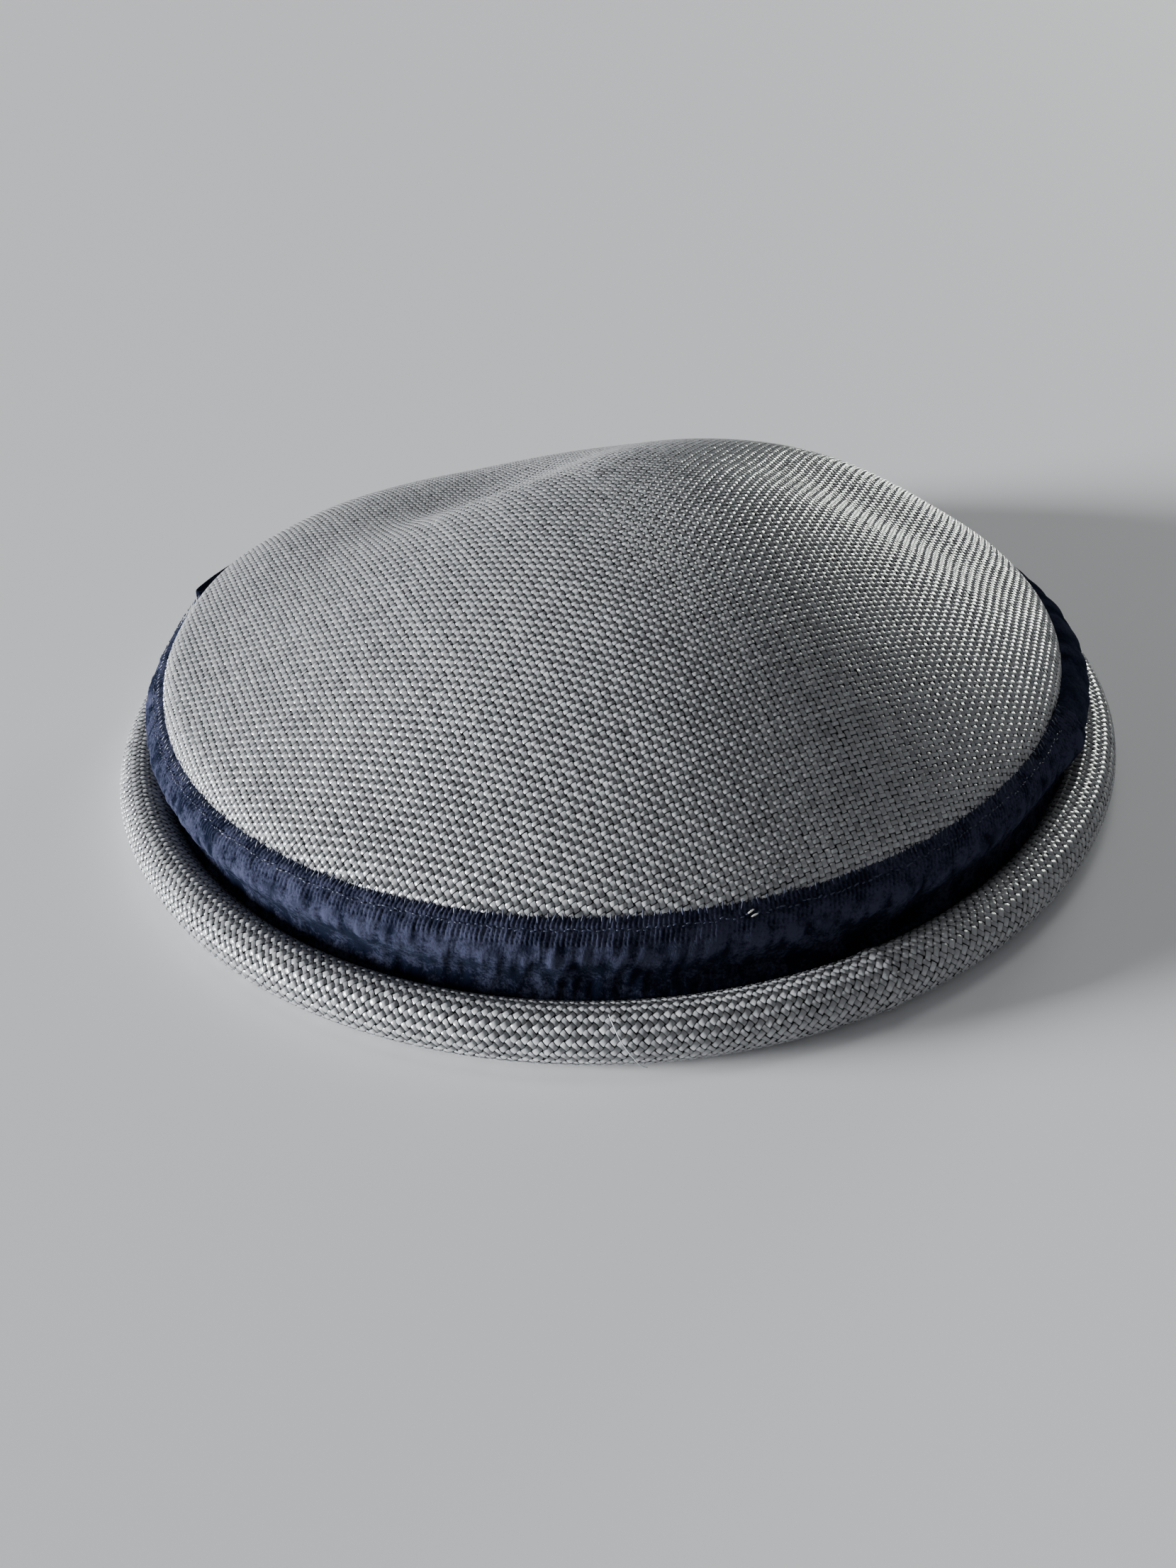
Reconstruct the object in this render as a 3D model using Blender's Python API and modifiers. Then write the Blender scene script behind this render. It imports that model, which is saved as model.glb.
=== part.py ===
"""Small saucer hat in woven straw cloth with velvet trim, built as separate named pieces.

The origin is at the middle of the hat, on the surface that it rests on. +Z is up, the back of the
hat is towards -Y, and +X is to the right when the hat is seen from behind. Azimuths are degrees
counter-clockwise from +X.
"""

import math

import bmesh
import bpy
from mathutils import Matrix, Vector

# Driving dimensions, in metres
CROWN_EDGE_RADIUS = 0.0991
CROWN_EDGE_HEIGHT = 0.0218
DOME_RISE = 0.0320
DOME_FULLNESS = 0.18
LEAN_BACK = 0.0083
LEAN_RIGHT = 0.0070
HEADSIZE_INSET = 0.0054
STRAW_THICKNESS = 0.0014
ROLL_RADIUS = 0.0046
ROLL_OUTSET = 0.0094
BRIM_THICKNESS = 0.0012
VELVET_THICKNESS = 0.0009
VELVET_FULLNESS = 0.0040
LOOP_LENGTH = 0.0280
LOOP_DEPTH = 0.0034
LOOP_HEIGHT = 0.0090
LOOP_DROP = 0.0108
CLEARANCE = 0.0003

# The headsize and the brim's roll keep their distance from the crown's edge.
HEADSIZE_RADIUS = CROWN_EDGE_RADIUS - HEADSIZE_INSET
ROLL_MIDDLE_RADIUS = CROWN_EDGE_RADIUS + ROLL_OUTSET

# Where pieces begin and end round the hat, in degrees
BAND_TIP_AZIMUTH = -29.0
BAND_LEFT_AZIMUTH = 168.0
LOOP_AZIMUTH = 157.0

# How finely the pieces are divided
RING_STEPS = 60
DOME_STATIONS = 12
ROLL_STEPS = 11
LOOP_ROUND_STEPS = 12
LOOP_SIDE_CUTS = 6

FULL_TURN = 360.0

# Colours are linear red, green and blue.
FINISHES = {
    "crown": {"color": (0.26, 0.30, 0.33), "roughness": 0.45},
    "brim_roll": {"color": (0.25, 0.29, 0.31), "roughness": 0.45},
    "velvet_band": {"color": (0.014, 0.022, 0.060), "roughness": 0.85},
    "velvet_strip": {"color": (0.013, 0.020, 0.052), "roughness": 0.75},
    "velvet_loop": {"color": (0.011, 0.017, 0.045), "roughness": 0.80},
}

# Soft dents in the dome, and swells, whose depth is below zero. The place, length and width are
# shares of CROWN_EDGE_RADIUS and the depth is a share of DOME_RISE.
DENTS = (
    {"right": 0.70, "front": -0.05, "length": 0.34, "width": 0.125, "turn": -28.0, "depth": 0.13},
    {"right": -0.27, "front": 0.30, "length": 0.30, "width": 0.20, "turn": 35.0, "depth": 0.25},
    {"right": 0.60, "front": 0.34, "length": 0.34, "width": 0.24, "turn": -40.0, "depth": -0.09},
    {"right": -0.80, "front": 0.42, "length": 0.42, "width": 0.25, "turn": 60.0, "depth": -0.15},
)

# The crown's edge isn't level: "up" is a share of CROWN_EDGE_HEIGHT, and the velvet rises with it.
EDGE_WAVE = (
    {"azimuth": 85.0, "up": 0.00},
    {"azimuth": 112.0, "up": -0.07},
    {"azimuth": 128.0, "up": 0.00},
    {"azimuth": 143.0, "up": 0.06},
    {"azimuth": 165.0, "up": 0.14},
    {"azimuth": 182.0, "up": 0.09},
    {"azimuth": 205.0, "up": 0.00},
)

# The turned edge of the crown: out and up are shares of EDGE_ROUND, from the edge's outermost point.
EDGE_ROUND = 0.0024
CROWN_EDGE = (
    {"out": -0.58, "up": 0.95},
    {"out": -0.12, "up": 0.50},
    {"out": 0.00, "up": 0.00},
    {"out": -0.12, "up": -0.48},
    {"out": -0.55, "up": -0.95},
)

# The dome ends in a shoulder just inside the crown's edge, as shares of EDGE_ROUND.
SHOULDER_IN = 1.29
SHOULDER_UP = 1.65

# The crown's side wall under the velvet: up is a share of CROWN_EDGE_HEIGHT, out a share of the way
# from the headsize to the crown's edge.
CROWN_WALL = (
    {"up": 0.58, "out": 0.56},
    {"up": 0.25, "out": 0.36},
)

# The brim beside the crown, as shares of ROLL_RADIUS: "in" is how far inwards from the roll's middle.
TROUGH_HEIGHT = 0.80
BRIM_TROUGH = (
    {"in": 1.50, "up": 0.80},
    {"in": 1.10, "up": 0.88},
)

# The roll's round section, in degrees from its outer side, counter-clockwise.
ROLL_START = 172.0
ROLL_END = -90.0

# The velvet's outer side, top to bottom. "out" is a share of VELVET_FULLNESS beyond the seat on the
# crown's edge, "foot" a share of the way from that seat to the roll, "up" a share of the crown edge's
# height, and "swell" says how far that point moves where the velvet is fuller.
VELVET_SECTION = (
    {"out": -0.10, "foot": 0.00, "up": 1.085, "swell": 0.00},
    {"out": 0.08, "foot": 0.00, "up": 1.030, "swell": 0.15},
    {"out": 0.34, "foot": 0.00, "up": 0.970, "swell": 0.45},
    {"out": 0.62, "foot": 0.00, "up": 0.895, "swell": 0.80},
    {"out": 0.82, "foot": 0.00, "up": 0.810, "swell": 1.00},
    {"out": 0.85, "foot": 0.00, "up": 0.735, "swell": 1.00},
    {"out": 0.70, "foot": 0.00, "up": 0.650, "swell": 0.90},
    {"out": 0.46, "foot": 0.05, "up": 0.555, "swell": 0.70},
    {"out": 0.26, "foot": 0.15, "up": 0.460, "swell": 0.35},
    {"out": 0.12, "foot": 0.40, "up": 0.378, "swell": 0.15},
    {"out": 0.04, "foot": 0.75, "up": 0.322, "swell": 0.05},
    {"out": 0.00, "foot": 1.00, "up": 0.306, "swell": 0.00},
)

# How far the velvet stands out round the hat: "more" is a share of VELVET_FULLNESS added at the ridge.
VELVET_SWELL = (
    {"azimuth": -40.0, "more": 0.00},
    {"azimuth": -27.0, "more": 0.62},
    {"azimuth": -12.0, "more": 0.75},
    {"azimuth": 12.0, "more": 0.30},
    {"azimuth": 60.0, "more": 0.00},
    {"azimuth": 140.0, "more": 0.00},
    {"azimuth": 168.0, "more": -0.30},
    {"azimuth": 185.0, "more": 0.35},
    {"azimuth": 215.0, "more": 0.15},
    {"azimuth": 270.0, "more": 0.00},
    {"azimuth": 320.0, "more": 0.00},
)


def clear_scene():
    for old in list(bpy.data.objects):
        bpy.data.objects.remove(old, do_unlink=True)


def cloth_material(name):
    material = bpy.data.materials.new(name)
    material.use_nodes = True
    shader = material.node_tree.nodes["Principled BSDF"]
    shader.inputs["Base Color"].default_value = (*FINISHES[name]["color"], 1.0)
    shader.inputs["Roughness"].default_value = FINISHES[name]["roughness"]
    shader.inputs["Metallic"].default_value = 0.0
    return material


def new_object(name, bm, collection):
    mesh = bpy.data.meshes.new(name)
    bm.to_mesh(mesh)
    bm.free()
    mesh.materials.append(cloth_material(name))
    mesh.shade_smooth()
    made = bpy.data.objects.new(name, mesh)
    collection.objects.link(made)
    return made


def thicken(piece, thickness):
    """Gives an open surface its wall, on the side away from its normals."""
    wall = piece.modifiers.new("wall", "SOLIDIFY")
    wall.thickness = thickness
    wall.offset = -1.0
    wall.use_even_offset = True
    wall.use_rim = True


def turned_surface(profile, start, sweep, steps):
    """Spins a profile of (radius, height) points about the Z axis, from azimuth start, by sweep."""
    bm = bmesh.new()
    turn = Matrix.Rotation(math.radians(start), 3, "Z")
    line = [bm.verts.new(turn @ Vector((radius, 0.0, height))) for radius, height in profile]
    edges = [bm.edges.new(pair) for pair in zip(line, line[1:])]
    bmesh.ops.spin(
        bm,
        geom=line + edges,
        cent=(0.0, 0.0, 0.0),
        axis=(0.0, 0.0, 1.0),
        angle=math.radians(sweep),
        steps=steps,
        use_merge=sweep == FULL_TURN,
    )
    bmesh.ops.remove_doubles(bm, verts=bm.verts, dist=1e-6)
    return bm


def face_outwards(bm, inside):
    """Turns every face away from the nearest point given by inside(face middle)."""
    wrong = []
    for face in bm.faces:
        face.normal_update()
        middle = face.calc_center_median()
        if face.normal.dot(middle - inside(middle)) < 0.0:
            wrong.append(face)
    bmesh.ops.reverse_faces(bm, faces=wrong)


def smooth_share(share):
    return share * share * (3.0 - 2.0 * share)


def value_round(table, column, azimuth):
    """A column of a table with an azimuth in each row, blended smoothly from row to row round the hat."""
    first = table[0]["azimuth"]
    turned = (azimuth - first) % FULL_TURN
    rows = [((row["azimuth"] - first) % FULL_TURN, row[column]) for row in table]
    rows.append((FULL_TURN, table[0][column]))
    for (low, low_value), (high, high_value) in zip(rows, rows[1:]):
        if low <= turned <= high:
            share = smooth_share((turned - low) / (high - low))
            return low_value + (high_value - low_value) * share
    return 0.0


def swell_at(azimuth):
    """The velvet's extra fullness at an azimuth, as a share of VELVET_FULLNESS."""
    return value_round(VELVET_SWELL, "more", azimuth)


def follow_edge(bm):
    """Lifts each point with the crown's edge, less towards the hat's middle and towards its foot."""
    for vert in bm.verts:
        azimuth = math.degrees(math.atan2(vert.co.y, vert.co.x))
        outwards = min(1.0, math.hypot(vert.co.x, vert.co.y) / CROWN_EDGE_RADIUS)
        upwards = min(1.0, vert.co.z / CROWN_EDGE_HEIGHT)
        vert.co.z += value_round(EDGE_WAVE, "up", azimuth) * CROWN_EDGE_HEIGHT * outwards**3 * upwards


def shoulder_radius():
    return CROWN_EDGE_RADIUS - SHOULDER_IN * EDGE_ROUND


def shoulder_height():
    return CROWN_EDGE_HEIGHT + SHOULDER_UP * EDGE_ROUND


def dent_at(x, y):
    """How far the dents lower the dome at a point."""
    lowered = 0.0
    for dent in DENTS:
        turn = math.radians(dent["turn"])
        right = x / CROWN_EDGE_RADIUS - dent["right"]
        front = y / CROWN_EDGE_RADIUS - dent["front"]
        along = (right * math.cos(turn) + front * math.sin(turn)) / dent["length"]
        across = (front * math.cos(turn) - right * math.sin(turn)) / dent["width"]
        lowered += dent["depth"] * DOME_RISE * math.exp(-along * along - across * across)
    return lowered


def dome_height(x, y):
    """Height of the dome's outer side, up to the shoulder."""
    share = min(1.0, math.hypot(x, y) / shoulder_radius())
    rise = DOME_RISE * (1.0 - share**2) * (1.0 - DOME_FULLNESS * share**2)
    lean = (LEAN_RIGHT * x - LEAN_BACK * y) / shoulder_radius() * (1.0 - share**2)
    held = 1.0 - share**6
    return shoulder_height() + rise + lean - dent_at(x, y) * held


def wall_profile():
    """Outer side of the crown below the dome: the turned edge, then the wall down to its foot."""
    foot_radius = HEADSIZE_RADIUS + STRAW_THICKNESS
    points = [
        (CROWN_EDGE_RADIUS + row["out"] * EDGE_ROUND, CROWN_EDGE_HEIGHT + row["up"] * EDGE_ROUND)
        for row in CROWN_EDGE
    ]
    for row in CROWN_WALL:
        radius = foot_radius + row["out"] * (points[0][0] - foot_radius)
        points.append((radius, row["up"] * CROWN_EDGE_HEIGHT))
    points.append((foot_radius, BRIM_THICKNESS + CLEARANCE))
    return points


def wall_radius_at(height):
    """Outer radius of the crown's side wall at a height."""
    points = wall_profile()[len(CROWN_EDGE) - 1 :]
    for (high_radius, high), (low_radius, low) in zip(points, points[1:]):
        if low <= height <= high:
            return low_radius + (high_radius - low_radius) * (height - low) / (high - low)
    return points[-1][0]


def build_crown(collection):
    profile = []
    for station in range(DOME_STATIONS + 1):
        radius = shoulder_radius() * math.sin(math.pi / 2 * station / DOME_STATIONS)
        profile.append((radius, shoulder_height()))
    profile += wall_profile()
    bm = turned_surface(profile, 0.0, FULL_TURN, RING_STEPS)
    for vert in bm.verts:
        if abs(vert.co.z - shoulder_height()) < CLEARANCE / 10.0:
            vert.co.z = dome_height(vert.co.x, vert.co.y)
    follow_edge(bm)
    face_outwards(bm, lambda middle: Vector((0.0, 0.0, 0.0)))
    thicken(new_object("crown", bm, collection), STRAW_THICKNESS)


def brim_profile():
    """Outer side of the brim: from the trough beside the crown, over the roll and under to the hem."""
    floor = TROUGH_HEIGHT * ROLL_RADIUS
    trough = [
        (ROLL_MIDDLE_RADIUS - row["in"] * ROLL_RADIUS, row["up"] * ROLL_RADIUS) for row in BRIM_TROUGH
    ]
    inner = wall_radius_at(floor) + CLEARANCE
    points = [(inner, floor), ((inner + trough[0][0]) / 2, floor), *trough]
    for step in range(ROLL_STEPS + 1):
        angle = math.radians(ROLL_START + (ROLL_END - ROLL_START) * step / ROLL_STEPS)
        radius = ROLL_MIDDLE_RADIUS + ROLL_RADIUS * math.cos(angle)
        points.append((radius, ROLL_RADIUS + ROLL_RADIUS * math.sin(angle)))
    points.append(((HEADSIZE_RADIUS + ROLL_MIDDLE_RADIUS) / 2, 0.0))
    points.append((HEADSIZE_RADIUS, 0.0))
    return points


def build_brim(collection):
    def inside(middle):
        """The ring inside the hollow of the brim that is nearest to a face."""
        azimuth = math.atan2(middle.y, middle.x)
        radius = min(math.hypot(middle.x, middle.y), ROLL_MIDDLE_RADIUS)
        in_roll = radius > ROLL_MIDDLE_RADIUS - ROLL_RADIUS
        height = ROLL_RADIUS if in_roll else TROUGH_HEIGHT * ROLL_RADIUS / 2
        return Vector((radius * math.cos(azimuth), radius * math.sin(azimuth), height))

    bm = turned_surface(brim_profile(), 0.0, FULL_TURN, RING_STEPS)
    face_outwards(bm, inside)
    thicken(new_object("brim_roll", bm, collection), BRIM_THICKNESS)


def velvet_seat():
    """Radius of the velvet's outer side where it lies against the crown's edge."""
    return CROWN_EDGE_RADIUS + CLEARANCE + VELVET_THICKNESS


def velvet_surface(start, end):
    """The velvet's outer side from one azimuth to another, fuller where the table says so."""
    seat = velvet_seat()
    foot = ROLL_MIDDLE_RADIUS - ROLL_RADIUS - CLEARANCE - seat
    profile = [
        (seat + row["out"] * VELVET_FULLNESS + row["foot"] * foot, row["up"] * CROWN_EDGE_HEIGHT)
        for row in VELVET_SECTION
    ]
    steps = max(2, round((end - start) / FULL_TURN * RING_STEPS))
    bm = turned_surface(profile, start, end - start, steps)
    for vert in bm.verts:
        radius = math.hypot(vert.co.x, vert.co.y)
        azimuth = math.degrees(math.atan2(vert.co.y, vert.co.x))
        up = vert.co.z / CROWN_EDGE_HEIGHT
        row = min(VELVET_SECTION, key=lambda row: abs(row["up"] - up))
        swell = row["swell"] * swell_at(azimuth) * VELVET_FULLNESS
        stretched = (radius + swell) / radius
        vert.co.x *= stretched
        vert.co.y *= stretched
    follow_edge(bm)
    face_outwards(bm, lambda middle: Vector((0.0, 0.0, CROWN_EDGE_HEIGHT / 2)))
    return bm


def build_velvet(collection):
    """The ribbed band round the back and the smooth strip round the front, end to end."""
    gap = math.degrees(CLEARANCE / CROWN_EDGE_RADIUS)
    bm = velvet_surface(BAND_LEFT_AZIMUTH, BAND_TIP_AZIMUTH + FULL_TURN)
    thicken(new_object("velvet_band", bm, collection), VELVET_THICKNESS)
    bm = velvet_surface(BAND_TIP_AZIMUTH + gap, BAND_LEFT_AZIMUTH - gap)
    thicken(new_object("velvet_strip", bm, collection), VELVET_THICKNESS)


def build_loop(collection):
    """A flat loop of velvet ribbon that lies along the strip at the left front."""
    half_span = math.degrees(LOOP_LENGTH / 2 / CROWN_EDGE_RADIUS)
    fullest = max(swell_at(LOOP_AZIMUTH + share * half_span) for share in (-1.0, -0.5, 0.0, 0.5, 1.0))
    ridge = max(row["out"] for row in VELVET_SECTION) + fullest
    middle_radius = velvet_seat() + ridge * VELVET_FULLNESS + CLEARANCE + LOOP_DEPTH / 2
    bm = bmesh.new()
    bmesh.ops.create_circle(bm, segments=LOOP_ROUND_STEPS, radius=LOOP_DEPTH / 2)
    half_step = Matrix.Rotation(math.pi / LOOP_ROUND_STEPS, 3, "Z")
    bmesh.ops.rotate(bm, cent=(0.0, 0.0, 0.0), matrix=half_step, verts=bm.verts)
    sides = [edge for edge in bm.edges if edge.verts[0].co.y * edge.verts[1].co.y < 0.0]
    for vert in bm.verts:
        vert.co.y += math.copysign((LOOP_LENGTH - LOOP_DEPTH) / 2, vert.co.y)
    bmesh.ops.subdivide_edges(bm, edges=sides, cuts=LOOP_SIDE_CUTS)
    raised = bmesh.ops.extrude_edge_only(bm, edges=bm.edges[:])
    upper = [item for item in raised["geom"] if isinstance(item, bmesh.types.BMVert)]
    bmesh.ops.translate(bm, vec=(0.0, 0.0, LOOP_HEIGHT), verts=upper)
    bmesh.ops.translate(bm, vec=(0.0, 0.0, CROWN_EDGE_HEIGHT - LOOP_DROP), verts=bm.verts)
    face_outwards(bm, lambda middle: Vector((0.0, 0.0, middle.z)))
    for vert in bm.verts:
        azimuth = math.radians(LOOP_AZIMUTH) + vert.co.y / middle_radius
        radius = middle_radius + vert.co.x
        vert.co = Vector((radius * math.cos(azimuth), radius * math.sin(azimuth), vert.co.z))
    follow_edge(bm)
    thicken(new_object("velvet_loop", bm, collection), VELVET_THICKNESS)


def main():
    clear_scene()
    collection = bpy.data.collections.new("saucer_hat")
    bpy.context.scene.collection.children.link(collection)
    build_crown(collection)
    build_brim(collection)
    build_velvet(collection)
    build_loop(collection)


main()
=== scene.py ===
"""Dresses a small saucer hat: woven straw over the crown and the rolled brim, and velvet in the groove.

Lengths are metres. The origin is under the middle of the hat, +Z is up, the back of the hat is towards
-Y and azimuths are degrees counter-clockwise from +X.
"""

import math

import bmesh
import bpy
import numpy as np
from bpy.props import FloatProperty, FloatVectorProperty, IntProperty, PointerProperty
from mathutils import Matrix, Vector
from mathutils.bvhtree import BVHTree


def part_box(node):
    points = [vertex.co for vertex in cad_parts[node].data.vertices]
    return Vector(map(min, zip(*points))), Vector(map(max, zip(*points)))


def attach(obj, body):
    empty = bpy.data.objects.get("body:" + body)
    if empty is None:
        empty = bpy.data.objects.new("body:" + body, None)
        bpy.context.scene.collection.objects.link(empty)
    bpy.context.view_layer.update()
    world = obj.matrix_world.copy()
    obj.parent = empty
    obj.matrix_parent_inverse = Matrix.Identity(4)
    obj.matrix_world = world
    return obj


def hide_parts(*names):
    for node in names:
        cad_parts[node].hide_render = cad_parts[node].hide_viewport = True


bl_info = {
    "name": "Saucer hat",
    "version": (1, 0, 0),
    "blender": (4, 5, 0),
    "location": "View3D > Sidebar > Saucer hat",
    "description": "Weaves the straw and folds the velvet of a small saucer hat",
    "category": "Add Mesh",
}

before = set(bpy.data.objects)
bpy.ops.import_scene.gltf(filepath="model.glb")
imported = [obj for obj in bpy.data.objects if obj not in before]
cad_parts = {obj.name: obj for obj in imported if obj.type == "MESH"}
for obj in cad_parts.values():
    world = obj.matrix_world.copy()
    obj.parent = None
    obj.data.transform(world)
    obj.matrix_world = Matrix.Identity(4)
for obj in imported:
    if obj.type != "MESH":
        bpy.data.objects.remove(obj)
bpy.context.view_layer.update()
BRIM_LOW, BRIM_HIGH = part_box("brim_roll")
ROLL_RADIUS = (BRIM_HIGH.z - BRIM_LOW.z) / 2
ROLL_MIDDLE_RADIUS = BRIM_HIGH.x - ROLL_RADIUS
GROOVE_RADIUS = ROLL_MIDDLE_RADIUS - ROLL_RADIUS

BODY = "root"
FULL_TURN = 360.0
WELD = 1e-6
FAR_OUT = 0.30

# How finely the solids are read
READ_STEP = 1.5
END_ROUND = 3.0
SECTION_STATIONS = 161

# A sheet of strips before it is laid on: half a strip's width, and how many strips differ by chance
STRIP_SIDE = 0.35
CHANCE_STRIPS = 401

# How finely the velvet is laid out: rows from top to foot, steps in a rib, and the smooth strip's step
BAND_ROWS = 27
RIB_STEPS = 4.0
SMOOTH_ROWS = 30
SMOOTH_STEP = 0.0011

# Triangles of a solid are joined into flat faces up to these angles before it is smoothed
JOIN_FACE_ANGLE = math.radians(40.0)
JOIN_SHAPE_ANGLE = math.radians(60.0)
SOFTEN_LEVELS = 2

# Length, width and height of a white stitch, and each one's azimuth, distance along and turn
WHITE_STITCH = (0.0014, 0.00032, 0.0003)
WHITE_STITCHES = ((280.5, 0.0021, 24.0), (280.8, 0.0028, 16.0))

# Colours of the lights
ROOM_COLOR = (0.93, 0.96, 1.0, 1.0)
LEFT_COLOR = (0.96, 0.98, 1.0)
FAR_COLOR = (0.95, 1.0, 0.93)
GLINT_COLOR = (0.93, 1.0, 0.90)
TOP_COLOR = (1.0, 1.0, 1.0)


class Skin:
    """The smoothed outer side of a solid, on which a point is placed by azimuth and by distance along.

    It holds one section for each azimuth, as points at even distances along it, and their normals.
    """

    def __init__(self, azimuths, sections, closed):
        self.first = azimuths[0]
        self.step = azimuths[1] - azimuths[0]
        self.closed = closed
        shares = np.linspace(0.0, 1.0, SECTION_STATIONS)
        points = []
        lengths = []
        for section in sections:
            steps = np.linalg.norm(np.diff(section, axis=0), axis=1)
            along = np.concatenate([[0.0], np.cumsum(steps)])
            spread = [np.interp(shares * along[-1], along, axis) for axis in section.T]
            points.append(np.stack(spread, axis=1))
            lengths.append(along[-1])
        self.points = np.array(points)
        self.lengths = np.array(lengths)
        self.normals = self.find_normals()

    def find_normals(self):
        """Unit normals of the points, away from the hat's axis and its floor."""
        if self.closed:
            round_hat = np.roll(self.points, -1, axis=0) - np.roll(self.points, 1, axis=0)
        else:
            round_hat = np.gradient(self.points, axis=0)
        down = np.gradient(self.points, axis=1)
        normals = np.cross(down, round_hat)
        normals /= np.linalg.norm(normals, axis=2, keepdims=True) + 1e-12
        thin = np.linalg.norm(round_hat, axis=2) < WELD
        normals[thin] = (0.0, 0.0, 1.0)
        return normals

    def place(self, azimuth, along, lift):
        """Points at azimuths, at distances along the section and lifted off the skin, and their normals."""
        turn = (np.asarray(azimuth) - self.first) / self.step
        count = len(self.points)
        inside = turn % count if self.closed else np.clip(turn, 0.0, count - 1.0001)
        past = np.radians((turn - inside) * self.step)
        turn = inside
        low = np.floor(turn).astype(int)
        side = (turn - low)[..., None]
        high = (low + 1) % count
        length = self.lengths[low] * (1.0 - side[..., 0]) + self.lengths[high] * side[..., 0]
        station = np.clip(along / length, 0.0, 1.0) * (SECTION_STATIONS - 1.0001)
        upper = np.floor(station).astype(int)
        down = (station - upper)[..., None]

        def blend(table):
            near = table[low, upper] * (1.0 - down) + table[low, upper + 1] * down
            far = table[high, upper] * (1.0 - down) + table[high, upper + 1] * down
            return near * (1.0 - side) + far * side

        normals = turned(blend(self.normals), past)
        normals /= np.linalg.norm(normals, axis=-1, keepdims=True)
        return turned(blend(self.points), past) + normals * np.asarray(lift)[..., None], normals

    def edge_height(self, azimuth):
        """Height of the crown's turned edge, where its section is furthest out."""
        furthest = np.argmax(np.hypot(self.points[..., 0], self.points[..., 1]), axis=1)
        heights = self.points[np.arange(len(self.points)), furthest, 2]
        azimuths = self.first + self.step * np.arange(len(self.points))
        return np.interp(np.asarray(azimuth) % FULL_TURN, azimuths, heights, period=FULL_TURN)


def turned(points, angles):
    """Points turned about the hat's axis, each by its own angle."""
    cosine, sine = np.cos(angles), np.sin(angles)
    x, y, z = points[..., 0], points[..., 1], points[..., 2]
    return np.stack([x * cosine - y * sine, x * sine + y * cosine, z], axis=-1)


def joined_copy(node, name):
    """A copy of a solid's mesh, with its doubles merged and its triangles joined into larger faces."""
    bm = bmesh.new()
    bm.from_mesh(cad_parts[node].data)
    bmesh.ops.remove_doubles(bm, verts=bm.verts, dist=WELD)
    bmesh.ops.join_triangles(
        bm,
        faces=bm.faces,
        angle_face_threshold=JOIN_FACE_ANGLE,
        angle_shape_threshold=JOIN_SHAPE_ANGLE,
    )
    return mesh_from(bm, name)


def soften(piece):
    rounded = piece.modifiers.new("soften", "SUBSURF")
    rounded.levels = SOFTEN_LEVELS
    rounded.render_levels = SOFTEN_LEVELS


def smoothed_tree(node):
    """A search tree of a solid whose facets are smoothed into a soft surface."""
    mesh = joined_copy(node, "smoothed")
    guide = bpy.data.objects.new("smoothed", mesh)
    bpy.context.scene.collection.objects.link(guide)
    soften(guide)
    bpy.context.view_layer.update()
    tree = BVHTree.FromObject(guide, bpy.context.evaluated_depsgraph_get())
    bpy.data.objects.remove(guide)
    bpy.data.meshes.remove(mesh)
    return tree


def first_hit(tree, start, end):
    """The first point of the solid on the way from start to end, or None."""
    start = Vector(start)
    way = Vector(end) - start
    return tree.ray_cast(start, way.normalized(), way.length)[0]


def read_crown():
    """The crown's skin: each section runs from the top of the dome over the edge and down the wall."""
    tree = smoothed_tree("crown")
    eye = Vector((0.0, 0.0, 0.010))
    tilts = np.concatenate([np.arange(0.0, 76.0, 2.0), np.arange(76.0, 92.0, 0.5)])
    azimuths = np.arange(0.0, FULL_TURN, READ_STEP)
    sections = []
    for azimuth in np.radians(azimuths):
        section = []
        for tilt in np.radians(tilts):
            out = Vector((
                math.sin(tilt) * math.cos(azimuth),
                math.sin(tilt) * math.sin(azimuth),
                math.cos(tilt),
            ))
            section.append(first_hit(tree, eye + out * FAR_OUT, eye))
        sections.append(np.array(section))
    return Skin(azimuths, sections, closed=True)


def read_brim():
    """The brim's skin: each section runs from the trough beside the crown over the roll to the floor."""
    tree = smoothed_tree("brim_roll")
    azimuths = np.arange(0.0, FULL_TURN, READ_STEP)
    trough = np.linspace(ROLL_MIDDLE_RADIUS - 2.6 * ROLL_RADIUS, ROLL_MIDDLE_RADIUS - 1.15 * ROLL_RADIUS, 8)
    angles = np.radians(np.arange(160.0, -84.0, -6.0))
    sections = []
    for azimuth in np.radians(azimuths):
        out = Vector((math.cos(azimuth), math.sin(azimuth), 0.0))
        up = Vector((0.0, 0.0, 1.0))
        section = [first_hit(tree, out * radius + up * FAR_OUT, out * radius) for radius in trough]
        middle = out * ROLL_MIDDLE_RADIUS + up * ROLL_RADIUS
        for angle in angles:
            ray = out * math.cos(angle) + up * math.sin(angle)
            section.append(first_hit(tree, middle + ray * 1.6 * ROLL_RADIUS, middle))
        sections.append(np.array([point for point in section if point is not None]))
    return Skin(azimuths, sections, closed=True)


def read_velvet(node, start, end):
    """The skin of a velvet piece: each section runs from its top edge over the fold to its foot."""
    tree = smoothed_tree(node)
    low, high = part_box(node)
    azimuths = np.linspace(start + END_ROUND, end - END_ROUND, int((end - start) / READ_STEP))
    heights = np.linspace(high.z, low.z, 90)
    sections = []
    for azimuth in np.radians(azimuths):
        out = Vector((math.cos(azimuth), math.sin(azimuth), 0.0))
        section = []
        for height in heights:
            axis = Vector((0.0, 0.0, height))
            section.append(first_hit(tree, axis + out * FAR_OUT, axis))
        sections.append(np.array([point for point in section if point is not None]))
    return Skin(azimuths, sections, closed=False)


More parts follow.
